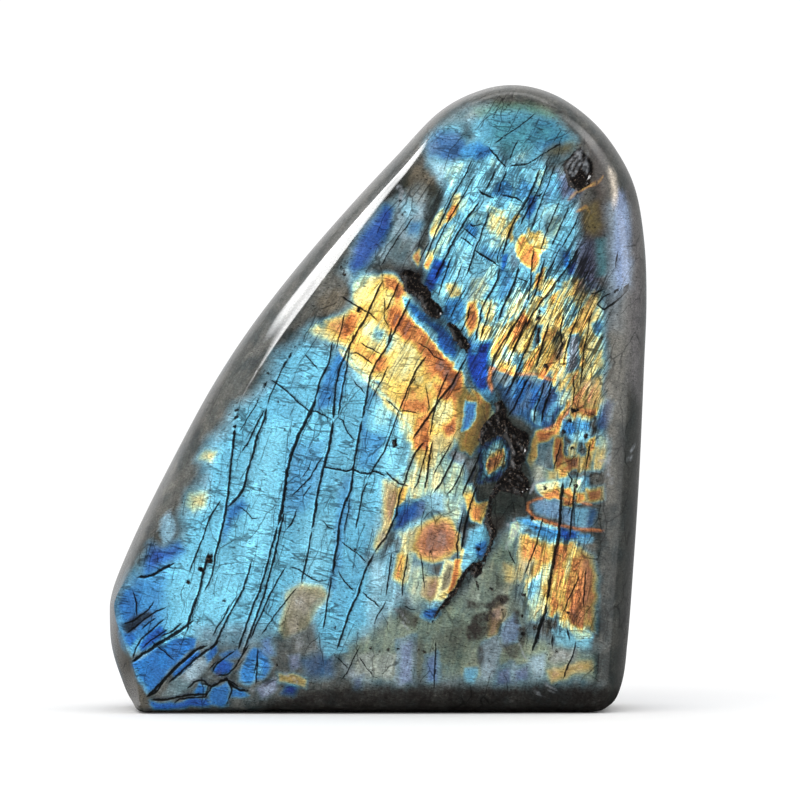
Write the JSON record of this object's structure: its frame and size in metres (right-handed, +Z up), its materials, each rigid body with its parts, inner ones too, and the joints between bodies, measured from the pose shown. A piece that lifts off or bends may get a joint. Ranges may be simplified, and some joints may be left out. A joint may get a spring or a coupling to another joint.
{
  "type": "labradorite freeform",
  "caption": "Free-standing labradorite freeform, polished all over, with a domed front that flashes blue and gold, rolled edges and a flat sawn base.",
  "frame": {"origin": "on the base, under the middle of the stone's bounding box", "axes": "+Z up, -Y towards the viewer of the flashing front, +X to that viewer's right"},
  "size_m": [0.129, 0.0478, 0.15],
  "materials": {
    "labradorite": "polished"
  },
  "bodies": {
    "root": {"labradorite": "labradorite"}
  },
  "joints": []
}
